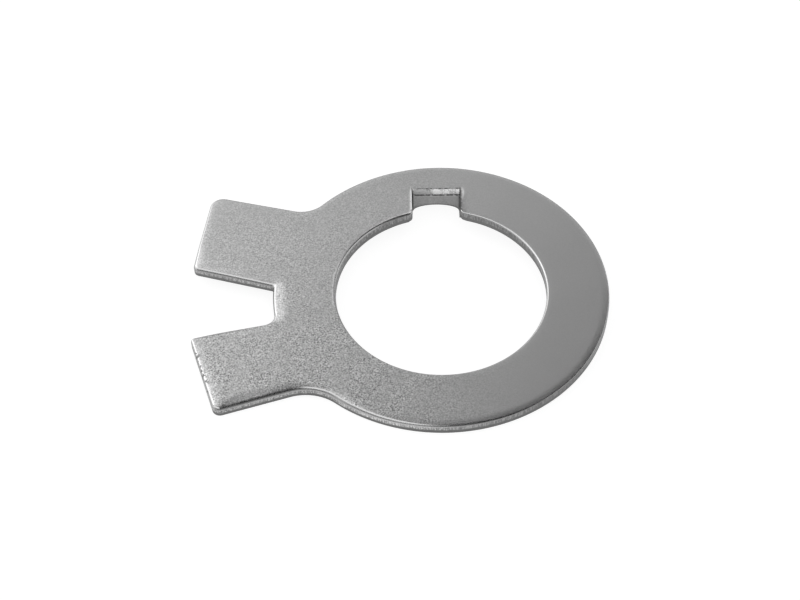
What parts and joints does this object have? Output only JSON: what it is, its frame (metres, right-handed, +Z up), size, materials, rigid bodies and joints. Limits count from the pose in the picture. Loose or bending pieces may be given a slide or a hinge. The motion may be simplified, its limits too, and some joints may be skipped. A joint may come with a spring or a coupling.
{
  "type": "tab lock washer",
  "caption": "Flat sheet-steel lock washer: a ring with two ears that fold up against a nut, and a short tab folded down beside the bore to sit in a slot of the hub.",
  "frame": {"origin": "bottom middle of the part's box, at the level of the key tab's tip", "axes": "+Z up along the bore's axis, away from the key tab's tip; -X towards the ears; +Y towards the key tab"},
  "size_m": [0.063, 0.0508, 0.0044],
  "materials": {
    "steel": "satin, finely speckled from tumbling, with bright rolled edges"
  },
  "bodies": {
    "root": {"washer": "steel"}
  },
  "joints": []
}
